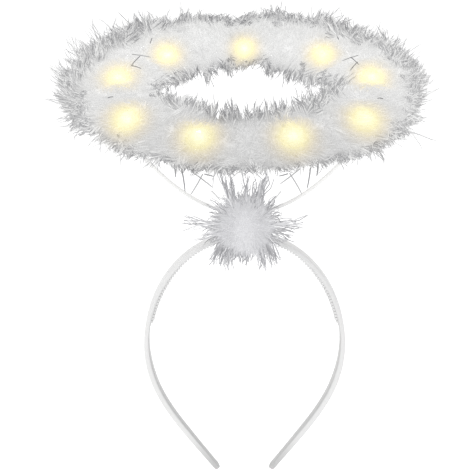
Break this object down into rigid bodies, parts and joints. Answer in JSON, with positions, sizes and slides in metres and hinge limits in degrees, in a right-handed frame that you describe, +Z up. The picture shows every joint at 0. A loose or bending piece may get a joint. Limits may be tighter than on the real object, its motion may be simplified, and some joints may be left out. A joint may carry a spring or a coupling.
{
  "type": "light-up angel headband",
  "caption": "Costume headband with comb teeth inside, a bowed wire on the crown that carries a tilted ring of white down with glowing lamps, and a down puff where the wire meets the band.",
  "frame": {"origin": "inner face of the band at the crown, where it sits on the head", "axes": "+Z up from the crown to the ring, -Y to the front where the puff is, +X to the viewer's right"},
  "size_m": [0.2353, 0.227, 0.296],
  "materials": {
    "band_plastic": "white moulded plastic, soft gloss",
    "saddle_plastic": "white moulded plastic, matte",
    "wire_coat": "white plastic coat over wire, satin",
    "halo_down": "white marabou down, lit warm beside the lamps",
    "puff_down": "white marabou down",
    "lamp_lens": "clear warm white lamp, lit"
  },
  "bodies": {
    "root": {"headband": "band_plastic", "wire_saddle": "saddle_plastic", "bow_wire": "wire_coat", "crown_puff": "puff_down", "halo_down": "halo_down", "lamp_1": "lamp_lens", "lamp_2": "lamp_lens", "lamp_3": "lamp_lens", "lamp_4": "lamp_lens", "lamp_5": "lamp_lens", "lamp_6": "lamp_lens", "lamp_7": "lamp_lens", "lamp_8": "lamp_lens", "lamp_9": "lamp_lens"}
  },
  "joints": []
}
